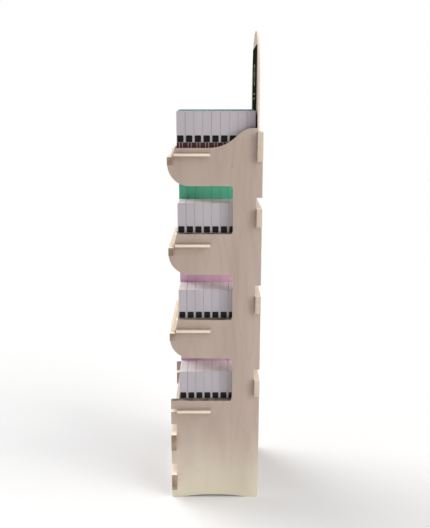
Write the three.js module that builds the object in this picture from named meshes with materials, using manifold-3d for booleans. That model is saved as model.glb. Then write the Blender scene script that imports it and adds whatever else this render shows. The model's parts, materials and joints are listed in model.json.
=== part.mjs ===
// A four-tier counter display stand: two laser-cut birch side panels, four slide-in shelves,
// hook-in slats, an arched header board and three columns of slim upright cartons on each shelf.
// Millimetres, +Z up. Front is -Y, and the origin is on the ground under the stand's centre.

import * as THREE from 'three';
import { mergeVertices } from 'three/addons/utils/BufferGeometryUtils.js';
import Module from 'manifold-3d';

const wasm = await Module();
wasm.setup();

// ---- driving dimensions ----

const GAP = 0.3;                  // air between two pieces that touch

const WIDTH = 175;                // across the outer faces of the two side panels
const PLY = 9;                    // side panels and slats
const SHELF_PLY = 4;              // shelves
const THIN_PLY = 3;               // lips and header board
const HEAD_OUT = 6;               // how far slats and shelf wings stand out past the sides

const HALF_DEPTH = 72;            // front and back of the teeth
const BODY_EDGE = 63;             // front and back of the panel between its teeth
const SPINE_TOP = 612;            // highest point of a side panel
const PANEL_FRONT_TOP = 582.6;    // top edge of the highest arm

const TIERS = 4;
const TIER_PITCH = 138.4;
const SHELF_1_Z = 157.6;          // middle of the lowest shelf board
const ARM_UP = 17.4;              // arm's top edge above its shelf
const ARM_DOWN = 47;              // arm's underside below its shelf
const NOSE_R = 33;                // quarter round under the arm's front
const WINDOW_REAR = 27.5;         // rear edge of a side window
const WINDOW_TOP_R = 6;
const WINDOW_FOOT_R = 4.5;

const WING_REAR = -7.5;           // rear end of a shelf's wing, and of its slot
const SHELF_REAR = 62.4;
const LIP_FOOT_Y = -66.5;         // a lip's outer face, at its foot
const LIP_TOP_Y = -62;            // and at its top
const LIP_FOOT = 2.7;             // a lip's foot below the shelf's middle

const RAIL_TOP = 3;               // front rail's top below its shelf
const RAIL_H = 12.6;
const RAIL_LAP = 6;               // depth of its cross-lap over the side

const SLAT_H = 28;
const SLAT_DROP = 16;             // how far a slat drops on to its seat: its cross-lap's depth
const SLAT_PLAY = 0.8;            // a notch is this much taller than its slat
const BASE_SLATS = [16, 88.5];
const BACK_SLATS = [184.5, 325, 463];
const TOP_SLAT_Z = 563;
const TOP_SLAT_H = 43;

const FOOT_ARCH_FRONT = -54;
const FOOT_ARCH_REAR = 49;
const FOOT_ARCH_RISE = 4.6;

const HEADER_FACE_Y = 63.3;
const HEADER_PEAK = 758;
const TONGUE_HALF = 60;           // half width of the header's tongue
const TONGUE_DROP = 34;           // how far the tongue reaches down the top slat
const POSTER_HALF = 51.5;
const POSTER_FOOT = 618;
const POSTER_TOP = 734;
const POSTER_T = 0.5;

const PACK_PITCH = 13.2;
const PACKS_DEEP = 9;
const PACK_W = 51.6;
const PACK_COLUMN_PITCH = 52.15;
const PACK_FRONT = -57.8;
const PACK_CORNER_R = 2;
const SHORT_PACK = 62;
const TOP_TIER_PACK = 64;
const TALL_PACK = 88;

// ---- worked-out places ----

const HALF_W = WIDTH / 2;
const INNER_X = HALF_W - PLY;
const HEAD_X = HALF_W + HEAD_OUT;
const shelfZ = (tier) => SHELF_1_Z + (tier - 1) * TIER_PITCH;
const armTop = (tier) => (tier === TIERS ? PANEL_FRONT_TOP : shelfZ(tier) + ARM_UP);
const LIP_LEAN = (LIP_TOP_Y - LIP_FOOT_Y) / (LIP_FOOT + ARM_UP);
const lipInnerY = (dz) => LIP_FOOT_Y + LIP_LEAN * (dz + LIP_FOOT) + THIN_PLY * Math.hypot(1, LIP_LEAN);
const SHELF_FRONT = lipInnerY(SHELF_PLY / 2) + GAP;

// ---- finishes ----

const FINISH = {
  birch: { color: 0xd9c6ae, roughness: 0.6, metalness: 0 },
  birch_shelf: { color: 0xe6d5bb, roughness: 0.6, metalness: 0 },
  header_print: { color: 0x1c1e17, roughness: 0.4, metalness: 0 },
  carton_white: { color: 0xe4dfe6, roughness: 0.45, metalness: 0 },
  carton_teal: { color: 0x3f9d9a, roughness: 0.45, metalness: 0 },
  carton_green: { color: 0x1f9468, roughness: 0.45, metalness: 0 },
  carton_pink: { color: 0xc67fb2, roughness: 0.45, metalness: 0 },
};

const stand = new THREE.Group();

function addMesh(name, geometry, finish) {
  const mesh = new THREE.Mesh(geometry, new THREE.MeshStandardMaterial(FINISH[finish]));
  mesh.name = name;
  stand.add(mesh);
  return mesh;
}

// ---- outlines and boards ----

function outline(points) {
  return new THREE.Shape(points.map(([a, b]) => new THREE.Vector2(a, b)));
}

// A board whose outline is drawn in (Y, Z), lying between two X planes.
function boardAcrossX(shape, x0, x1, curveSegments = 16) {
  const options = { depth: x1 - x0, bevelEnabled: false, curveSegments };
  const geometry = new THREE.ExtrudeGeometry(shape, options);
  const turn = new THREE.Matrix4().makeBasis(
    new THREE.Vector3(0, 1, 0),
    new THREE.Vector3(0, 0, 1),
    new THREE.Vector3(1, 0, 0),
  );
  geometry.applyMatrix4(turn);
  geometry.translate(x0, 0, 0);
  return geometry;
}

// A board whose outline is drawn in (X, Z), lying between two Y planes.
function boardAcrossY(shape, y0, y1, curveSegments = 16) {
  const options = { depth: y1 - y0, bevelEnabled: false, curveSegments };
  const geometry = new THREE.ExtrudeGeometry(shape, options);
  geometry.rotateX(Math.PI / 2);
  geometry.translate(0, y1, 0);
  return geometry;
}

// A closed geometry as a solid that can be cut.
function solid(geometry) {
  const bare = geometry.clone();
  bare.deleteAttribute('normal');
  bare.deleteAttribute('uv');
  const merged = mergeVertices(bare, 1e-4);
  return new wasm.Manifold(new wasm.Mesh({
    numProp: 3,
    vertProperties: new Float32Array(merged.attributes.position.array),
    triVerts: new Uint32Array(merged.index.array),
  }));
}

function cutFrom(geometry, cutter) {
  const mesh = solid(geometry).subtract(solid(cutter)).getMesh();
  const result = new THREE.BufferGeometry();
  result.setAttribute('position', new THREE.BufferAttribute(mesh.vertProperties, 3));
  result.setIndex(new THREE.BufferAttribute(mesh.triVerts, 1));
  return result;
}

// ---- side panels ----

// The front or back strip of teeth: at each notch the edge steps in, from the seat that the
// slat drops on to, up to the height that it goes in at.
function notchedEdge(shape, edgeY, bodyY, bottoms) {
  for (const bottom of bottoms) {
    const seat = bottom + SLAT_DROP;
    shape.lineTo(edgeY, seat);
    shape.lineTo(bodyY, seat);
    shape.lineTo(bodyY, seat + SLAT_H + SLAT_PLAY);
    shape.lineTo(edgeY, seat + SLAT_H + SLAT_PLAY);
  }
}

// The slot that a shelf's wing slides into from the front.
function shelfSlot(shape, z, mouthBelow, mouthAbove) {
  const half = SHELF_PLY / 2 + GAP;
  shape.lineTo(mouthBelow, z - half);
  shape.lineTo(WING_REAR + GAP, z - half);
  shape.lineTo(WING_REAR + GAP, z + half);
  shape.lineTo(mouthAbove, z + half);
}

// The open window behind a tier's cartons, from the arm below it round to the arm above.
function sideWindow(shape, floor, ceiling) {
  const rear = WINDOW_REAR;
  shape.lineTo(rear - WINDOW_FOOT_R, floor);
  shape.absarc(rear - WINDOW_FOOT_R, floor + WINDOW_FOOT_R, WINDOW_FOOT_R, -Math.PI / 2, 0, false);
  shape.lineTo(rear, ceiling - WINDOW_TOP_R);
  shape.absarc(rear - WINDOW_TOP_R, ceiling - WINDOW_TOP_R, WINDOW_TOP_R, 0, Math.PI / 2, false);
}

// An arm from its underside up to its top edge: the quarter round, the seat of the front rail,
// the shelf slot, and the sloping edge that the lip leans on.
function armFront(shape, tier) {
  const z = shelfZ(tier);
  const noseY = -HALF_DEPTH + NOSE_R;
  const railSeat = z - RAIL_TOP - RAIL_H + RAIL_LAP;
  const slopeY = (dz) => lipInnerY(dz) + GAP;
  shape.lineTo(noseY, z - ARM_DOWN);
  shape.absarc(noseY, z - ARM_DOWN + NOSE_R, NOSE_R, -Math.PI / 2, -Math.PI, true);
  shape.lineTo(-HALF_DEPTH, railSeat);
  shape.lineTo(-BODY_EDGE, railSeat);
  const half = SHELF_PLY / 2 + GAP;
  shelfSlot(shape, z, slopeY(-half), slopeY(half));
  shape.lineTo(slopeY(armTop(tier) - z), armTop(tier));
}

function sidePanelShape() {
  const shape = new THREE.Shape();
  shape.moveTo(FOOT_ARCH_FRONT, 0);
  shape.lineTo(-HALF_DEPTH, 0);
  notchedEdge(shape, -HALF_DEPTH, -BODY_EDGE, BASE_SLATS);
  shelfSlot(shape, shelfZ(1), -HALF_DEPTH, -HALF_DEPTH);
  shape.lineTo(-HALF_DEPTH, armTop(1));
  for (let tier = 2; tier <= TIERS; tier += 1) {
    sideWindow(shape, armTop(tier - 1), shelfZ(tier) - ARM_DOWN);
    armFront(shape, tier);
  }
  // The highest arm runs back flat, then climbs to the spine in one S.
  shape.lineTo(-12, PANEL_FRONT_TOP);
  shape.bezierCurveTo(12, PANEL_FRONT_TOP, 24, 592, 34, 601.5);
  shape.bezierCurveTo(42, 609, 48, SPINE_TOP, 58, SPINE_TOP);
  shape.lineTo(BODY_EDGE, SPINE_TOP);
  shape.lineTo(BODY_EDGE, TOP_SLAT_Z + SLAT_DROP);
  shape.lineTo(HALF_DEPTH, TOP_SLAT_Z + SLAT_DROP);
  for (const bottom of [...BACK_SLATS].reverse()) {
    const seat = bottom + SLAT_DROP;
    shape.lineTo(HALF_DEPTH, seat + SLAT_H + SLAT_PLAY);
    shape.lineTo(BODY_EDGE, seat + SLAT_H + SLAT_PLAY);
    shape.lineTo(BODY_EDGE, seat);
    shape.lineTo(HALF_DEPTH, seat);
  }
  shape.lineTo(HALF_DEPTH, 0);
  shape.lineTo(FOOT_ARCH_REAR, 0);
  const middle = (FOOT_ARCH_FRONT + FOOT_ARCH_REAR) / 2;
  shape.quadraticCurveTo(middle, 2 * FOOT_ARCH_RISE, FOOT_ARCH_FRONT, 0);
  return shape;
}

addMesh('side_panel_left', boardAcrossX(sidePanelShape(), -HALF_W, -INNER_X), 'birch');
addMesh('side_panel_right', boardAcrossX(sidePanelShape(), INNER_X, HALF_W), 'birch');

// ---- shelves and lips ----

// A shelf is a plate between the sides with a wing on each side that runs out through the slot.
function shelfGeometry() {
  const inner = INNER_X - GAP;
  const shape = outline([
    [-HEAD_X, SHELF_FRONT], [HEAD_X, SHELF_FRONT], [HEAD_X, WING_REAR],
    [inner, WING_REAR], [inner, SHELF_REAR], [-inner, SHELF_REAR],
    [-inner, WING_REAR], [-HEAD_X, WING_REAR],
  ]);
  const options = { depth: SHELF_PLY, bevelEnabled: false };
  const geometry = new THREE.ExtrudeGeometry(shape, options);
  geometry.translate(0, 0, -SHELF_PLY / 2);
  return geometry;
}

for (let tier = 1; tier <= TIERS; tier += 1) {
  addMesh(`shelf_${tier}`, shelfGeometry(), 'birch_shelf').position.z = shelfZ(tier);
}

// A lip leans back on the sides' sloping edges. The lowest one fits between the sides.
for (let tier = 1; tier <= TIERS; tier += 1) {
  const foot = -LIP_FOOT;
  const top = armTop(tier) - shelfZ(tier);
  const outer = (dz) => LIP_FOOT_Y + LIP_LEAN * (dz + LIP_FOOT);
  const shape = outline([
    [outer(foot), foot], [lipInnerY(foot), foot], [lipInnerY(top), top], [outer(top), top],
  ]);
  const reach = tier === 1 ? INNER_X - GAP : HALF_W;
  const lip = addMesh(`front_lip_${tier}`, boardAcrossX(shape, -reach, reach), 'birch_shelf');
  lip.position.z = shelfZ(tier);
}

// ---- slats and rails ----

// A cross piece with a slot up into its underside over each side panel, so that it drops on.
function crossPiece(height, lap) {
  const laps = [-1, 1].map((side) => {
    const near = side * (INNER_X - GAP);
    const far = side * (HALF_W + GAP);
    return [Math.min(near, far), Math.max(near, far)];
  });
  const lapTop = lap + GAP;
  return outline([
    [-HEAD_X, 0], [laps[0][0], 0], [laps[0][0], lapTop], [laps[0][1], lapTop], [laps[0][1], 0],
    [laps[1][0], 0], [laps[1][0], lapTop], [laps[1][1], lapTop], [laps[1][1], 0],
    [HEAD_X, 0], [HEAD_X, height], [-HEAD_X, height],
  ]);
}

const frontStrip = [-HALF_DEPTH, -BODY_EDGE - GAP];
const backStrip = [BODY_EDGE + GAP, HALF_DEPTH];

for (let tier = 2; tier <= TIERS; tier += 1) {
  const rail = boardAcrossY(crossPiece(RAIL_H, RAIL_LAP), ...frontStrip);
  addMesh(`front_rail_${tier}`, rail, 'birch').position.z = shelfZ(tier) - RAIL_TOP - RAIL_H;
}

['lower', 'upper'].forEach((level, i) => {
  const slat = boardAcrossY(crossPiece(SLAT_H, SLAT_DROP), ...frontStrip);
  addMesh(`base_slat_${level}`, slat, 'birch').position.z = BASE_SLATS[i];
});

BACK_SLATS.forEach((bottom, i) => {
  const slat = boardAcrossY(crossPiece(SLAT_H, SLAT_DROP), ...backStrip);
  addMesh(`back_slat_${i + 1}`, slat, 'birch').position.z = bottom;
});

// The top slat has a shallow housing in its front face for the header's tongue.
const housing = new THREE.BoxGeometry(2 * (TONGUE_HALF + GAP), 2 * THIN_PLY, TOP_SLAT_H);
const housingFloor = TOP_SLAT_H - TONGUE_DROP - GAP;
housing.translate(0, HEADER_FACE_Y + GAP, housingFloor + TOP_SLAT_H / 2);
const topSlat = cutFrom(boardAcrossY(crossPiece(TOP_SLAT_H, SLAT_DROP), ...backStrip), housing);
addMesh('back_slat_4', topSlat, 'birch').position.z = TOP_SLAT_Z;

// ---- header ----

function headerShape() {
  const seat = TOP_SLAT_Z + TOP_SLAT_H + GAP;
  const shape = new THREE.Shape();
  shape.moveTo(-TONGUE_HALF, seat - TONGUE_DROP);
  shape.lineTo(TONGUE_HALF, seat - TONGUE_DROP);
  shape.lineTo(TONGUE_HALF, seat);
  shape.lineTo(HALF_W, seat);
  shape.absarc(0, HEADER_PEAK - HALF_W, HALF_W, 0, Math.PI, false);
  shape.lineTo(-HALF_W, seat);
  shape.lineTo(-TONGUE_HALF, seat);
  return shape;
}

const headerRear = HEADER_FACE_Y + THIN_PLY;
const header = boardAcrossY(headerShape(), HEADER_FACE_Y, headerRear, 48);
addMesh('header_board', header, 'birch_shelf');

const posterShape = outline([
  [-POSTER_HALF, POSTER_FOOT], [POSTER_HALF, POSTER_FOOT],
  [POSTER_HALF, POSTER_TOP], [-POSTER_HALF, POSTER_TOP],
]);
const posterFace = HEADER_FACE_Y - GAP - POSTER_T;
addMesh('header_poster', boardAcrossY(posterShape, posterFace, posterFace + POSTER_T), 'header_print');

// ---- cartons ----

// The side view of cartons standing one behind another, each with rounded top edges. They
// share their lower part, so that a row is one solid with a groove between its cartons.
function cartonRow(count, height) {
  const shape = new THREE.Shape();
  const r = PACK_CORNER_R;
  const rearEnd = count * PACK_PITCH - GAP;
  shape.moveTo(0, 0);
  shape.lineTo(rearEnd, 0);
  for (let i = count - 1; i >= 0; i -= 1) {
    const front = i * PACK_PITCH;
    const rear = i === count - 1 ? rearEnd : front + PACK_PITCH;
    shape.lineTo(rear, height - r);
    shape.absarc(rear - r, height - r, r, 0, Math.PI / 2, false);
    shape.absarc(front + r, height - r, r, Math.PI / 2, Math.PI, false);
  }
  shape.lineTo(0, 0);
  return shape;
}

const COLUMNS = [
  { name: 'left', x: -PACK_COLUMN_PITCH },
  { name: 'middle', x: 0 },
  { name: 'right', x: PACK_COLUMN_PITCH },
];
const TIER_COLOURS = ['carton_pink', 'carton_pink', 'carton_green', 'carton_teal'];

for (let tier = 1; tier <= TIERS; tier += 1) {
  const foot = shelfZ(tier) + SHELF_PLY / 2 + GAP;
  for (const column of COLUMNS) {
    const plain = column.name === 'right';
    const coloured = tier === TIERS ? TOP_TIER_PACK : TALL_PACK;
    const height = plain ? SHORT_PACK : coloured;
    const finish = plain ? 'carton_white' : TIER_COLOURS[tier - 1];
    const x0 = column.x - PACK_W / 2;
    const x1 = column.x + PACK_W / 2;
    const frontPack = boardAcrossX(cartonRow(1, height), x0, x1, 3);
    const row = boardAcrossX(cartonRow(PACKS_DEEP - 1, height), x0, x1, 3);
    addMesh(`front_pack_${tier}_${column.name}`, frontPack, finish).position.set(0, PACK_FRONT, foot);
    addMesh(`pack_row_${tier}_${column.name}`, row, finish)
      .position.set(0, PACK_FRONT + PACK_PITCH, foot);
  }
}

export default stand;
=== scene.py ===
"""A four-tier counter display stand of laser-cut birch plywood, stocked with slim cartons.

Metres, +Z up. Front is -Y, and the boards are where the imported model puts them.
"""

import json
import math

import bmesh
import bpy
from mathutils import Matrix, Vector


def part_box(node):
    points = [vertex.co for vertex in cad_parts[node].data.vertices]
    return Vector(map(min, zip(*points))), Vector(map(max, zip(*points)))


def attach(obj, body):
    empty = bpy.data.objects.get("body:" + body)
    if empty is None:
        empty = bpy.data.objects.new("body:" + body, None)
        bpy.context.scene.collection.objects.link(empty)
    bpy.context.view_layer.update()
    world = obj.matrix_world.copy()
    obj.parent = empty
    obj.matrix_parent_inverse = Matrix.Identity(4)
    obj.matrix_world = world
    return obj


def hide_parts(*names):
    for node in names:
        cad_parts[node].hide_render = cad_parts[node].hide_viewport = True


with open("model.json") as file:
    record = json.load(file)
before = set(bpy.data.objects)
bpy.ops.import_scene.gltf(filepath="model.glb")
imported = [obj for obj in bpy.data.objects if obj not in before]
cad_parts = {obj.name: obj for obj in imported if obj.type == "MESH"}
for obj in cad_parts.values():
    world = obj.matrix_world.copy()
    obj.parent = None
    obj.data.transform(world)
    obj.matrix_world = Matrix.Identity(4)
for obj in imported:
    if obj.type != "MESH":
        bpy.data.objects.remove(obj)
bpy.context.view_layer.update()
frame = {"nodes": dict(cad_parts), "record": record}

# ---- Camera, light and floor ----
# The stand is looked at square from its right side, from about the height of its top cartons. It
# stands on a matt white table top under a soft overhead sky. Three distant lights shine from
# behind it, one of them low so that it rakes the sides, and two softer ones from in front.

CAMERA_DISTANCE = 1.0875
CAMERA_HEIGHT = 0.638
CAMERA_PITCH = math.radians(13.13)
LENS = 45
BACKDROP_WHITE = 1.0
SKY_LOW = 0.19
SKY_HIGH = 0.44
BELOW_TABLE = 0.3
TABLE_RADIUS = 6.0
TABLE_STEPS = 64
CLIP_NEAR = 0.05
CLIP_FAR = 200

scene = bpy.context.scene
scene.view_settings.view_transform = "Standard"

camera = bpy.data.objects.new("camera", bpy.data.cameras.new("camera"))
camera.data.lens = LENS
camera.location = (CAMERA_DISTANCE, 0, CAMERA_HEIGHT)
camera.rotation_euler = (math.pi / 2 - CAMERA_PITCH, 0, math.pi / 2)
camera.data.clip_start = CLIP_NEAR
camera.data.clip_end = CLIP_FAR
scene.collection.objects.link(camera)
scene.camera = camera


class Value:
    """A number in a material, so that its sums are written as plain Python."""

    def __init__(self, shader, socket):
        self.shader = shader
        self.socket = socket

    def math(self, operation, *others):
        operands = dict(enumerate((self, *others)))
        return self.shader.node("Math", {"operation": operation}, operands)

    def _swapped(self, operation, first):
        return self.shader.node("Math", {"operation": operation}, {0: first, 1: self})

    def __add__(self, other):
        return self.math("ADD", other)

    def __sub__(self, other):
        return self.math("SUBTRACT", other)

    def __mul__(self, other):
        return self.math("MULTIPLY", other)

    def __truediv__(self, other):
        return self.math("DIVIDE", other)

    def __radd__(self, other):
        return self._swapped("ADD", other)

    def __rsub__(self, other):
        return self._swapped("SUBTRACT", other)

    def __rmul__(self, other):
        return self._swapped("MULTIPLY", other)

    def __rtruediv__(self, other):
        return self._swapped("DIVIDE", other)

    def __gt__(self, other):
        return self.math("GREATER_THAN", other)

    def __mod__(self, other):
        return self.math("FLOORED_MODULO", other)

    def __abs__(self):
        return self.math("ABSOLUTE")

    def floor(self):
        return self.math("FLOOR")

    def fraction(self):
        return self.math("FRACT")

    def root(self):
        return self.math("SQRT")

    def lowest(self, other):
        return self.math("MINIMUM", other)

    def highest(self, other):
        return self.math("MAXIMUM", other)

    def ramp(self, low, high):
        """0 below low, 1 above high, and a smooth step between; the ends may be swapped."""
        settings = {"interpolation_type": "SMOOTHSTEP"}
        values = {"Value": self, "From Min": low, "From Max": high}
        return self.shader.node("MapRange", settings, values)


class Shader:
    """The nodes of a material or a world, and one method that adds any node to them."""

    def __init__(self, owner):
        self.owner = owner
        owner.use_nodes = True
        self.tree = owner.node_tree
        self.tree.nodes.clear()

    def node(self, kind, settings=None, sockets=None, out=0):
        made = self.tree.nodes.new("ShaderNode" + kind)
        for key, value in (settings or {}).items():
            setattr(made, key, value)
        for key, value in (sockets or {}).items():
            if isinstance(value, Value):
                self.tree.links.new(value.socket, made.inputs[key])
            else:
                made.inputs[key].default_value = value
        return Value(self, made.outputs[out]) if made.outputs else None

    def attribute(self, name, out):
        return self.node("Attribute", {"attribute_name": name}, out=out)

    def parts(self, vector):
        split = self.node("SeparateXYZ", None, {0: vector})
        return [Value(self, socket) for socket in split.socket.node.outputs]

    def stretched(self, vector, scale):
        return self.node("VectorMath", {"operation": "MULTIPLY"}, {0: vector, 1: scale})

    def noise(self, vector, scale, detail=2.0, roughness=0.5):
        values = {"Vector": self.stretched(vector, scale), "Scale": 1.0}
        values.update({"Detail": detail, "Roughness": roughness})
        return self.node("TexNoise", None, values)

    def mix(self, factor, below, above):
        """The colour below where the factor is 0, and above where it is 1."""
        values = {0: factor, 6: below, 7: above}
        return self.node("Mix", {"data_type": "RGBA"}, values, out=2)

    def finish(self, sockets, height=None, strength=1.0, distance=0.0):
        """Joins the surface to the output, with relief of that distance where height is given."""
        if height is not None:
            bump = {"Height": height, "Strength": strength, "Distance": distance}
            sockets = {**sockets, "Normal": self.node("Bump", None, bump)}
        surface = self.node("BsdfPrincipled", None, sockets)
        self.node("OutputMaterial", None, {"Surface": surface})
        return self.owner


room = Shader(bpy.data.worlds.new("room"))
scene.world = room.owner
looking = room.parts(room.node("TexCoord"))[2]
overhead = looking.highest(0.0)
sky = SKY_LOW + overhead * overhead * SKY_HIGH
shine = sky * (looking > 0) + (1 - (looking > 0)) * BELOW_TABLE
seen = room.node("LightPath")
strength = shine * (1 - seen) + seen * BACKDROP_WHITE
glow = room.node("Background", None, {"Color": (1, 1, 1, 1), "Strength": strength})
room.node("OutputWorld", None, {"Surface": glow})


def soft_sun(name, towards, strength, angle, colour):
    """A distant light that shines along a direction, as soft as it is wide."""
    light = bpy.data.lights.new(name, "SUN")
    light.energy = strength
    light.angle = math.radians(angle)
    light.color = colour
    lamp = bpy.data.objects.new(name, light)
    lamp.rotation_mode = "QUATERNION"
    lamp.rotation_quaternion = Vector(towards).to_track_quat("-Z", "Y")
    scene.collection.objects.link(lamp)


soft_sun("rear_light", (-0.5, -1.0, -1.0), 1.2, 46, (1, 0.98, 0.96))
soft_sun("low_light", (-0.5, -1.0, -0.15), 0.85, 12, (1, 0.98, 0.96))
soft_sun("rear_glow", (-0.4, -1.0, -0.9), 0.4, 80, (1, 1, 1))
soft_sun("front_light", (0.55, 0.8, -0.85), 1.9, 46, (1, 1, 1))
soft_sun("front_glow", (0.4, 0.8, -0.8), 0.6, 100, (1, 1, 1))

table_mesh = bpy.data.meshes.new("table")
turns = [math.tau * step / TABLE_STEPS for step in range(TABLE_STEPS)]
rim = [(TABLE_RADIUS * math.cos(turn), TABLE_RADIUS * math.sin(turn), 0) for turn in turns]
table_mesh.from_pydata(rim, [], [tuple(range(TABLE_STEPS))])
table = bpy.data.objects.new("table", table_mesh)
scene.collection.objects.link(table)
paint = Shader(bpy.data.materials.new("table_paint"))
chalk = {"Base Color": (0.78, 0.78, 0.78, 1), "Roughness": 0.9, "Specular IOR Level": 0.1}
table_mesh.materials.append(paint.finish(chalk))

# ---- Side panels ----
# Two mirrored panels of 9 mm birch plywood, laser cut in one piece: four tiers of arms, three
# windows, notches for the slats and a shallow arch between the feet. Their grain runs upright.

MM = 0.001
VENEER_LIGHT = (0.525, 0.420, 0.362, 1)
VENEER_DARK = (0.485, 0.380, 0.325, 1)
FIGURE_BROWN = (0.40, 0.29, 0.225, 1)
PORE_BROWN = (0.40, 0.29, 0.22, 1)
FLECK_BROWN = (0.34, 0.23, 0.16, 1)
KNOT_BROWN = (0.25, 0.15, 0.09, 1)
# The pale colour below paints the panels paler near their feet: painted light bounced up from the
# table.
BOUNCE_GLOW_PALE = (0.80, 0.74, 0.58, 1)
PLY_PALE = (0.95, 0.84, 0.70, 1)
PLY_DARK = (0.86, 0.73, 0.58, 1)
GLUE_LINE = (0.55, 0.40, 0.28, 1)
FIBRE_BROWN = (0.60, 0.45, 0.32, 1)
BROWNED = (0.24, 0.155, 0.105, 1)
SCORCHED = (0.085, 0.058, 0.036, 1)
# How far the painted glow of bounced light reaches above and below a panel's foot.
BOUNCE_GLOW_TOP = 0.17
BOUNCE_GLOW_BELOW = 0.01


def birch(name, thickness, plies, end_burn, foot=0.0, char=BROWNED):
    """Birch plywood. Its face is pale with a faint wandering figure, short pores and a rare pin
    knot. Its cut edges are paler and show the plies, and end_burn chars the end grain. Where
    foot is given, the face is painted paler towards the foot, measured along the grain: a
    painted glow of light bounced up from the table."""
    s = Shader(bpy.data.materials.new(name))
    place = s.attribute("board", 1)
    cut = s.attribute("cut", 2)
    end = s.attribute("end_grain", 2)
    along, _, through = s.parts(place)

    # Face veneer.
    hills = s.noise(place, (2.6, 13, 40), 3.0, 0.45)
    rings = (hills * 13).fraction()
    figure = rings.ramp(0.55, 0.98) * rings.ramp(1.0, 0.985)
    tone = s.noise(place, (5, 24, 10), 2.0)
    pores = s.noise(place, (55, 1500, 300), 2.0, 0.6).ramp(0.56, 0.78)
    flecks = s.noise(place, (160, 2400, 300), 1.0).ramp(0.70, 0.80)
    face = s.mix(tone.ramp(0.25, 0.75), VENEER_LIGHT, VENEER_DARK)
    face = s.mix(figure * 0.20, face, FIGURE_BROWN)
    face = s.mix(pores * 0.22, face, PORE_BROWN)
    face = s.mix(flecks * 0.35, face, FLECK_BROWN)
    spots = s.node("TexVoronoi", None, {"Vector": s.stretched(place, (9, 21, 9)), "Scale": 1.0})
    face = s.mix(spots.ramp(0.055, 0.02) * 0.7, face, KNOT_BROWN)
    if foot:
        # Painted light: the face grows paler towards its foot, standing for light bounced up from
        # the table.
        painted_bounce_glow = (along + tone * 0.05).ramp(foot + BOUNCE_GLOW_TOP, foot - BOUNCE_GLOW_BELOW)
        face = s.mix(painted_bounce_glow, face, BOUNCE_GLOW_PALE)

    # Cut edge: alternate plies, the glue between them, and the laser's fine striations.
    layer = (through / thickness + 0.5) * plies
    odd = (layer.floor() % 2).ramp(0.4, 0.6)
    glue = abs(layer.fraction() - 0.5).ramp(0.40, 0.48)
    fibres = s.noise(place, (900, 900, 60), 2.0)
    patches = s.noise(place, (60, 60, 60), 2.0)
    edge = s.mix(odd, PLY_PALE, PLY_DARK)
    edge = s.mix(glue * 0.35, edge, GLUE_LINE)
    edge = s.mix(fibres.ramp(0.45, 0.75) * 0.25, edge, FIBRE_BROWN)
    burn = (patches.ramp(0.3, 0.8) * 0.3 + 0.85) * end * end_burn
    edge = s.mix(burn.lowest(1.0), edge, char)

    height = (1 - pores * 0.7 - flecks * 0.5) * (1 - cut) + (1 - glue * 0.8 - fibres * 0.6) * cut
    rough = 0.52 + tone * 0.12 + cut * 0.2
    colour = s.mix(cut, face, edge)
    sockets = {"Base Color": colour, "Roughness": rough, "Specular IOR Level": 0.3}
    return s.finish(sockets, height, strength=0.25, distance=0.25 * MM)


EASED_EDGE = 0.35 * MM
SLOT_REACH = 4 * MM
WELD = 1e-6


def board(node, name, material, grain, through, shift, clean_heights=()):
    """A board from its CAD outline, with its sharp edges eased by a hair. The grain, the way
    across it and the way through it are kept as an attribute, moved by shift so that no two
    boards show the same veneer. End grain within reach of a clean height isn't charred."""
    mesh = bpy.data.meshes.new(name)
    bm = bmesh.new()
    bm.from_mesh(frame["nodes"][node].data)
    bmesh.ops.remove_doubles(bm, verts=bm.verts, dist=WELD)
    bmesh.ops.dissolve_limit(bm, angle_limit=math.radians(1), verts=bm.verts, edges=bm.edges)
    sharp = [edge for edge in bm.edges if edge.calc_face_angle(0) > math.radians(30)]
    bmesh.ops.bevel(
        bm, geom=sharp, offset=EASED_EDGE, segments=2, profile=0.6, affect="EDGES",
        clamp_overlap=True,
    )
    bm.to_mesh(mesh)
    bm.free()

    grain, through = Vector(grain).normalized(), Vector(through).normalized()
    across = through.cross(grain)
    lo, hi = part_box(node)
    centre = (lo + hi) / 2
    shift = Vector(shift)
    place = mesh.attributes.new("board", "FLOAT_VECTOR", "POINT")
    for vertex, value in zip(mesh.vertices, place.data):
        p = vertex.co - centre
        value.vector = (p.dot(grain) + shift.x, p.dot(across) + shift.y, p.dot(through))
    cut = mesh.attributes.new("cut", "FLOAT", "FACE")
    end = mesh.attributes.new("end_grain", "FLOAT", "FACE")
    for face, on_edge, on_end in zip(mesh.polygons, cut.data, end.data):
        flat = abs(face.normal.dot(through))
        on_edge.value = 1.0 if flat < 0.6 else 0.0
        clean = any(abs(face.center.z - height) < SLOT_REACH for height in clean_heights)
        steep = 2 * abs(face.normal.dot(grain)) - 0.8
        on_end.value = 0.0 if clean else min(max(steep, 0.0), 1.0)
        face.use_smooth = flat < 0.999
    mesh.set_sharp_from_angle(angle=math.radians(32))
    mesh.materials.append(material)
    piece = bpy.data.objects.new(name, mesh)
    scene.collection.objects.link(piece)
    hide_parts(node)
    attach(piece, "stand")


TIERS = (1, 2, 3, 4)
UP, WIDE, DEEP = (0, 0, 1), (1, 0, 0), (0, 1, 0)
THICK, THICK_PLIES = 9 * MM, 7
PANEL_HALF = 306 * MM
FRONT_BURN = 0.9
shelf_heights = [sum(corner.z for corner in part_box(f"shelf_{tier}")) / 2 for tier in TIERS]
for node, name, veneer in (
    ("side_panel_right", "right_panel", 0.13),
    ("side_panel_left", "left_panel", 1.71),
):
    # The foot given here paints each panel's face paler towards its foot: painted light bounced up
    # from the table.
    panel_ply = birch(
        "birch_" + name, THICK, THICK_PLIES, FRONT_BURN, foot=veneer - PANEL_HALF, char=SCORCHED,
    )
    shift = (veneer, 0.5 * veneer, 0)
    board(node, name, panel_ply, UP, WIDE, shift, clean_heights=shelf_heights)

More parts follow.
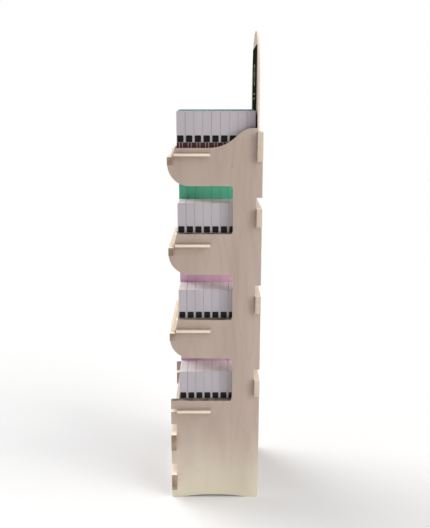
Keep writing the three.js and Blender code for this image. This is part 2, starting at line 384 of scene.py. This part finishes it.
# ---- Shelves ----
# Plates of 4 mm birch plywood pushed in from the front. Their wings run out through the slots
# in the sides, and their grain runs across the stand.

THIN_PLIES = 3
shelf_ply = birch("birch_shelf", 4 * MM, THIN_PLIES, end_burn=0.0)
for tier in TIERS:
    shift = (0.4 * tier, 0.9 * tier, 0)
    board(f"shelf_{tier}", f"shelf_board_{tier}", shelf_ply, WIDE, UP, shift)

# ---- Lips ----
# Strips of 3 mm birch plywood glued on the sides' sloping edges. They lean back and keep the
# cartons from walking off the shelf.

LIP_LEAN = 0.2239
lip_ply = birch("birch_lip", 3 * MM, THIN_PLIES, end_burn=0.0)
for tier in TIERS:
    shift = (0.7 * tier, 0.33 * tier, 0)
    board(f"front_lip_{tier}", f"lip_{tier}", lip_ply, WIDE, (0, 1, -LIP_LEAN), shift)

# ---- Rails and slats ----
# Battens of 9 mm birch plywood across the stand. Each has a slot up into its underside over
# each side panel, goes in through the notch and drops on to its seat.

BACK_BURN = 0.35
front_ply = birch("birch_front_batten", THICK, THICK_PLIES, FRONT_BURN)
for tier in TIERS[1:]:
    shift = (0.5 * tier, 0.21 * tier, 0)
    board(f"front_rail_{tier}", f"rail_{tier}", front_ply, WIDE, DEEP, shift)
for count, level in enumerate(("lower", "upper")):
    shift = (2.3 + count, 0.6 * count, 0)
    board(f"base_slat_{level}", f"base_batten_{level}", front_ply, WIDE, DEEP, shift)

back_ply = birch("birch_back_batten", THICK, THICK_PLIES, BACK_BURN)
for tier in TIERS:
    shift = (3.1 * tier, 0.8 * tier, 0)
    board(f"back_slat_{tier}", f"back_batten_{tier}", back_ply, WIDE, DEEP, shift)

# ---- Header ----
# A 3 mm birch board with a half-round top, glued by its tongue into the top batten, with a
# matt black printed card on its face. The pale ring, dot and rules on the card are painted
# highlights, standing for glints of light.

header_ply = birch("birch_header", 3 * MM, THIN_PLIES, end_burn=0.1)
board("header_board", "header", header_ply, UP, DEEP, (0.9, 1.4, 0))

CARD_CORNER = 4 * MM
CARD_CORNER_STEPS = 6
CARD_EDGE = 0.1 * MM
GLINT_HEIGHT = 692 * MM
GLINT_RING_RADIUS = 15 * MM
RULES_HEIGHT = 659.5 * MM
RULES_HALF_APART = 3.5 * MM
INK = (0.010, 0.012, 0.006, 1)
INK_WORN = (0.017, 0.020, 0.011, 1)
PAINTED_GLINT_PALE = (0.30, 0.32, 0.25, 1)


def header_print():
    """Matt black ink, with a pale ring and dot over two short rules: painted highlights that stand
    for glints of light on the card.
    """
    s = Shader(bpy.data.materials.new("header_print"))
    place = s.node("TexCoord", out=3)
    x, _, z = s.parts(place)
    glint_z = z - GLINT_HEIGHT
    radius = (x * x + glint_z * glint_z).root()
    ring = abs(radius - GLINT_RING_RADIUS).ramp(2.2 * MM, 1.6 * MM)
    dot = radius.ramp(5.2 * MM, 4.6 * MM)
    from_rule = abs(abs(z - RULES_HEIGHT) - RULES_HALF_APART)
    rule = from_rule.ramp(1.1 * MM, 0.8 * MM) * abs(x).ramp(18.5 * MM, 18 * MM)
    painted_glint = ring.highest(dot).highest(rule)
    grit = s.noise(place, (900, 900, 900), 2.0)
    ink = s.mix(grit.ramp(0.3, 0.8), INK, INK_WORN)
    # The pale ring, dot and rules are painted highlights, standing for glints of light on the
    # black card.
    colour = s.mix(painted_glint * 0.75, ink, PAINTED_GLINT_PALE)
    rough = 0.72 + grit * 0.15 + painted_glint * 0.1
    sockets = {"Base Color": colour, "Roughness": rough, "Specular IOR Level": 0.0}
    return s.finish(sockets, grit, strength=0.08, distance=0.1 * MM)


def rounded_card(name, node, material):
    """A thin card with rounded corners, in the place of its CAD node."""
    lo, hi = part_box(node)
    bm = bmesh.new()
    outline = []
    for centre_x, centre_z, start in (
        (hi.x - CARD_CORNER, hi.z - CARD_CORNER, 0),
        (lo.x + CARD_CORNER, hi.z - CARD_CORNER, 90),
        (lo.x + CARD_CORNER, lo.z + CARD_CORNER, 180),
        (hi.x - CARD_CORNER, lo.z + CARD_CORNER, 270),
    ):
        for step in range(CARD_CORNER_STEPS + 1):
            turn = math.radians(start + 90 * step / CARD_CORNER_STEPS)
            x = centre_x + CARD_CORNER * math.cos(turn)
            z = centre_z + CARD_CORNER * math.sin(turn)
            outline.append(bm.verts.new((x, lo.y, z)))
    face = bm.faces.new(outline)
    pushed = bmesh.ops.extrude_face_region(bm, geom=[face])
    moved = [item for item in pushed["geom"] if isinstance(item, bmesh.types.BMVert)]
    bmesh.ops.translate(bm, verts=moved, vec=(0, hi.y - lo.y, 0))
    bmesh.ops.recalc_face_normals(bm, faces=bm.faces)
    rim = [edge for edge in bm.edges if edge.calc_face_angle(0) > math.radians(60)]
    bmesh.ops.bevel(bm, geom=rim, offset=CARD_EDGE, segments=1, affect="EDGES")
    mesh = bpy.data.meshes.new(name)
    bm.to_mesh(mesh)
    bm.free()
    mesh.materials.append(material)
    piece = bpy.data.objects.new(name, mesh)
    scene.collection.objects.link(piece)
    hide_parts(node)
    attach(piece, "stand")


rounded_card("header_card", "header_poster", header_print())

# ---- Cartons ----
# Slim folded cartons of coated board, 13 mm thick, nine deep in three columns. Each has a
# coloured upper part, a black rounded patch on every side and a maroon foot with thin rules.
# Painted light on them: lighter tops, dark seam lines of painted shade, and pale rules that
# stand for highlight lines.

CARTON_PITCH = 13.2 * MM
CARTONS_BEHIND = 8
SIDE_PLAY = 0.3 * MM
SEAM = 0.1 * MM
SWAY = 0.12 * MM
FOLD = 0.5 * MM
WORN_CORNER = 2.0 * MM
CORNER_STEPS = 5
LID_THICKNESS = 0.25 * MM
LID_INSET = 0.35 * MM
LID_DEPTH = 1.5 * MM
LID_LEAST_CORNER = 0.1 * MM
SOFT_END = 0.15 * MM

PRINT_EDGE = 0.12 * MM
PATCH_HEIGHT = 20.8 * MM
PATCH_HALF = 5.1 * MM
FOOT_TOP = 15.4 * MM
RULES_UP = 7.5 * MM
RULES_IN = 6.4 * MM
RING_HEIGHT = 43 * MM
# The dark colour below is painted shade for the crevices between neighbouring cartons.
SEAM_SHADE_DARK = (0.10, 0.085, 0.095, 1)
RING_INK = (0.02, 0.018, 0.02, 1)
PATCH_INK = (0.007, 0.0045, 0.0045, 1)
MAROON = (0.072, 0.026, 0.022, 1)
# The pale colour below draws the foot's rules: on the sides they are painted highlights, standing
# for thin highlight lines on the maroon.
PALE_RULE_HIGHLIGHT = (0.50, 0.43, 0.44, 1)


def stripe(value, low, high):
    """1 between two distances, with crisp printed edges."""
    above = value.ramp(low - PRINT_EDGE, low + PRINT_EDGE)
    return above * value.ramp(high + PRINT_EDGE, high - PRINT_EDGE)


def rounded_patch(u, v, half_u, half_v, corner):
    """1 inside a rectangle with rounded corners, centred on the origin of u and v."""
    du = (abs(u) - (half_u - corner)).highest(0.0)
    dv = (abs(v) - (half_v - corner)).highest(0.0)
    distance = (du * du + dv * dv).root()
    return distance.ramp(corner + PRINT_EDGE, corner - PRINT_EDGE)


def carton_board(name, upper, upper_dark, lit_top_colour, half_width):
    """Printed carton board. Its pattern reads the carton's own print attribute: across the
    carton, back from its front face, and up from its foot."""
    s = Shader(bpy.data.materials.new(name))
    place = s.attribute("print", 1)
    lie = s.attribute("lie", 1)
    lid = s.attribute("lid", 2)
    x, y, z = s.parts(place)
    on_side = abs(x).ramp(half_width - 0.6 * MM, half_width - 0.45 * MM)
    on_front = 1 - on_side

    grain = s.noise(place, (700, 700, 700), 2.0)
    tint = s.noise(lie, (3, 37, 3), 0.0)
    body = s.mix(tint.ramp(0.3, 0.7), upper, upper_dark)
    # Faces that look up take the lid colour, lighter than the upper part: a painted highlight of
    # light falling on the tops.
    body = s.mix(lid, body, lit_top_colour)

    patch_z = z - PATCH_HEIGHT
    side_patch = rounded_patch(y - 5.7 * MM, patch_z, 4.9 * MM, PATCH_HALF, 1.2 * MM) * on_side
    front_patch = rounded_patch(x, patch_z, 20 * MM, PATCH_HALF, 1.6 * MM) * on_front
    foot = z.ramp(FOOT_TOP + PRINT_EDGE, FOOT_TOP - PRINT_EDGE)
    # The pale rules on the sides of the foot are painted highlights, drawn as print where thin
    # highlight lines fall on the maroon; the front rules match them as print.
    side_rule_highlights = stripe(abs(y - RULES_IN), 1.9 * MM, 2.7 * MM) * on_side
    front_rules = stripe(abs(z - RULES_UP), 1.5 * MM, 1.9 * MM)
    front_rules = front_rules * abs(x).ramp(16 * MM, 15.7 * MM) * on_front
    ring_z = z - RING_HEIGHT
    radius = (x * x + ring_z * ring_z).root()
    ring = stripe(radius, 8.2 * MM, 9.4 * MM) * on_front * y.ramp(3 * MM, 2 * MM)

    # Dark lines at the front and rear ends of each side, in the crevices between cartons: painted
    # shade.
    painted_seam_shade = abs(y - 6.55 * MM).ramp(6.25 * MM, 6.5 * MM) * on_side
    patches = side_patch.highest(front_patch)
    colour = s.mix(painted_seam_shade * 0.35, body, SEAM_SHADE_DARK)
    colour = s.mix(ring * 0.55, colour, RING_INK)
    colour = s.mix(patches, colour, PATCH_INK)
    colour = s.mix(foot, colour, MAROON)
    colour = s.mix((side_rule_highlights + front_rules) * foot * 0.9, colour, PALE_RULE_HIGHLIGHT)
    dark = patches.highest(foot)
    rough = 0.42 + grain * 0.1 - dark * 0.08
    sockets = {"Base Color": colour, "Roughness": rough, "Specular IOR Level": 0.22}
    return s.finish(sockets, grain, strength=0.05, distance=0.1 * MM)


def carton_mesh(name, width, depth, height, front_radius, rear_radius):
    """One carton standing on its origin with its front face at y = 0: folded top edges, and a
    tuck-in lid that lies a hair inside the side walls."""

    def profile(front, rear, foot, top, front_corner, rear_corner):
        points = [(front, foot), (rear, foot)]
        for centre, radius, start in (
            (rear - rear_corner, rear_corner, 0),
            (front + front_corner, front_corner, 90),
        ):
            for step in range(CORNER_STEPS + 1):
                turn = math.radians(start + 90 * step / CORNER_STEPS)
                back = centre + radius * math.cos(turn)
                points.append((back, top - radius + radius * math.sin(turn)))
        return points

    def prism(bm, points, half):
        left = [bm.verts.new((-half, y, z)) for y, z in points]
        right = [bm.verts.new((half, y, z)) for y, z in points]
        bm.faces.new(left)
        bm.faces.new(right[::-1])
        for i in range(len(points)):
            j = (i + 1) % len(points)
            bm.faces.new((left[i], right[i], right[j], left[j]))
        bmesh.ops.recalc_face_normals(bm, faces=bm.faces)

    bm = bmesh.new()
    walls = profile(0, depth, 0, height - LID_THICKNESS, front_radius, rear_radius)
    prism(bm, walls, width / 2)
    ends = [edge for edge in bm.edges if edge.calc_face_angle(0) > math.radians(40)]
    bmesh.ops.bevel(bm, geom=ends, offset=SOFT_END, segments=2, affect="EDGES")
    lid = bmesh.new()
    reach = (LID_INSET, depth - LID_INSET, height - LID_DEPTH, height)
    corners = (front_radius - LID_INSET, max(rear_radius - LID_INSET, LID_LEAST_CORNER))
    prism(lid, profile(*reach, *corners), width / 2 - LID_INSET)
    spare = bpy.data.meshes.new("spare")
    lid.to_mesh(spare)
    bm.from_mesh(spare)
    bpy.data.meshes.remove(spare)
    lid.free()
    mesh = bpy.data.meshes.new(name)
    bm.to_mesh(mesh)
    bm.free()
    place = mesh.attributes.new("print", "FLOAT_VECTOR", "POINT")
    for vertex, value in zip(mesh.vertices, place.data):
        value.vector = vertex.co
    # Faces that look up are marked so that the board paints them lighter, as a painted highlight
    # of light falling on the tops.
    painted_lit_tops = mesh.attributes.new("lid", "FLOAT", "FACE")
    for face, value in zip(mesh.polygons, painted_lit_tops.data):
        face.use_smooth = True
        value.value = 1.0 if face.normal.z > 0.6 else 0.0
    mesh.set_sharp_from_angle(angle=math.radians(35))
    return mesh


def row_tree():
    """Geometry Nodes that stand cartons one behind another, each a hair out of line."""
    tree = bpy.data.node_groups.new("carton_row", "GeometryNodeTree")
    for name, kind in (
        ("Carton", "Geometry"),
        ("Count", "Int"),
        ("Pitch", "Float"),
        ("Sway", "Float"),
        ("Seed", "Int"),
        ("Board", "Material"),
    ):
        tree.interface.new_socket(name, in_out="INPUT", socket_type="NodeSocket" + kind)
    tree.interface.new_socket("Row", in_out="OUTPUT", socket_type="NodeSocketGeometry")

    def add(kind, settings=None, links=None):
        made = tree.nodes.new(kind)
        for key, value in (settings or {}).items():
            setattr(made, key, value)
        for key, value in (links or {}).items():
            if isinstance(value, bpy.types.NodeSocket):
                tree.links.new(value, made.inputs[key])
            else:
                made.inputs[key].default_value = value
        return made

    given = add("NodeGroupInput").outputs
    step = add("ShaderNodeCombineXYZ", None, {"Y": given["Pitch"]}).outputs[0]
    line = add("GeometryNodeMeshLine", None, {"Count": given["Count"], "Offset": step})
    away = add("ShaderNodeMath", {"operation": "MULTIPLY"}, {0: given["Sway"], 1: -1.0}).outputs[0]
    low = add("ShaderNodeCombineXYZ", None, {"X": away}).outputs[0]
    high = add("ShaderNodeCombineXYZ", None, {"X": given["Sway"]}).outputs[0]
    random = {"data_type": "FLOAT_VECTOR"}
    nudge = add("FunctionNodeRandomValue", random, {0: low, 1: high, "Seed": given["Seed"]})
    links = {"Geometry": line.outputs[0], "Offset": nudge.outputs[0]}
    moved = add("GeometryNodeSetPosition", None, links)
    links = {"Points": moved.outputs[0], "Instance": given["Carton"]}
    stood = add("GeometryNodeInstanceOnPoints", None, links)
    real = add("GeometryNodeRealizeInstances", None, {"Geometry": stood.outputs[0]})
    links = {"Geometry": real.outputs[0], "Material": given["Board"]}
    painted = add("GeometryNodeSetMaterial", None, links)
    out = add("NodeGroupOutput")
    tree.links.new(painted.outputs[0], out.inputs[0])
    return tree


def make_row(tree, template, count, seed, material):
    """The mesh of a row of cartons, from its node tree."""
    holder = bpy.data.objects.new("row_in_hand", template)
    scene.collection.objects.link(holder)
    modifier = holder.modifiers.new("row", "NODES")
    modifier.node_group = tree
    values = {"Count": count, "Pitch": CARTON_PITCH, "Sway": SWAY, "Seed": seed, "Board": material}
    for item in tree.interface.items_tree:
        if item.in_out == "INPUT" and item.name in values:
            modifier[item.identifier] = values[item.name]
    bpy.context.view_layer.update()
    done = holder.evaluated_get(bpy.context.evaluated_depsgraph_get())
    mesh = bpy.data.meshes.new_from_object(done)
    holder.modifiers.remove(modifier)
    bpy.data.objects.remove(holder)
    return mesh


def stand_cartons(name, node, body, mesh, corner, material):
    """Puts a mesh of cartons where its CAD node stands."""
    mesh.name = name
    mesh.transform(Matrix.Translation(corner))
    lie = mesh.attributes.new("lie", "FLOAT_VECTOR", "POINT")
    for vertex, value in zip(mesh.vertices, lie.data):
        value.vector = vertex.co
    mesh.materials.clear()
    mesh.materials.append(material)
    piece = bpy.data.objects.new(name, mesh)
    scene.collection.objects.link(piece)
    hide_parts(node)
    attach(piece, body)


# For each kind: its upper part, the same a shade darker, and its lid colour, lighter than the
# upper part as a painted highlight of light falling on the tops.
CARTON_COLOURS = {
    "carton_white": ((0.52, 0.48, 0.51, 1), (0.49, 0.45, 0.485, 1), (0.78, 0.74, 0.76, 1)),
    "carton_teal": ((0.18, 0.56, 0.54, 1), (0.14, 0.49, 0.48, 1), (0.42, 0.74, 0.72, 1)),
    "carton_green": ((0.16, 0.66, 0.43, 1), (0.13, 0.58, 0.37, 1), (0.35, 0.74, 0.56, 1)),
    "carton_pink": ((0.95, 0.62, 0.81, 1), (0.88, 0.54, 0.73, 1), (0.94, 0.70, 0.84, 1)),
}
carton_row = row_tree()
slot_of = {entry["node"]: entry["material_slot"] for entry in frame["record"]["subparts"]}
sheets = {}
for tier in TIERS:
    for column_number, column in enumerate(("left", "middle", "right")):
        row_node = f"pack_row_{tier}_{column}"
        front_node = f"front_pack_{tier}_{column}"
        lo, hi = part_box(front_node)
        width, depth, height = hi - lo
        slot_name = slot_of[front_node]
        if slot_name not in sheets:
            colours = CARTON_COLOURS[slot_name]
            sheets[slot_name] = carton_board(slot_name + "_board", *colours, width / 2)
        sheet = sheets[slot_name]
        width -= SIDE_PLAY
        template = carton_mesh("carton", width, CARTON_PITCH - SEAM, height, FOLD, FOLD)
        foot = Vector(((lo.x + hi.x) / 2, lo.y, lo.z))
        seed = 10 * tier + column_number
        row = make_row(carton_row, template, CARTONS_BEHIND, seed, sheet)
        behind = Vector((foot.x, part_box(row_node)[0].y, foot.z))
        name = f"cartons_{tier}_{column}"
        stand_cartons(name, row_node, "stand", row, behind, sheet)
        first = carton_mesh("carton", width, depth, height, WORN_CORNER, FOLD)
        name = f"carton_front_{tier}_{column}"
        stand_cartons(name, front_node, front_node, first, foot, sheet)
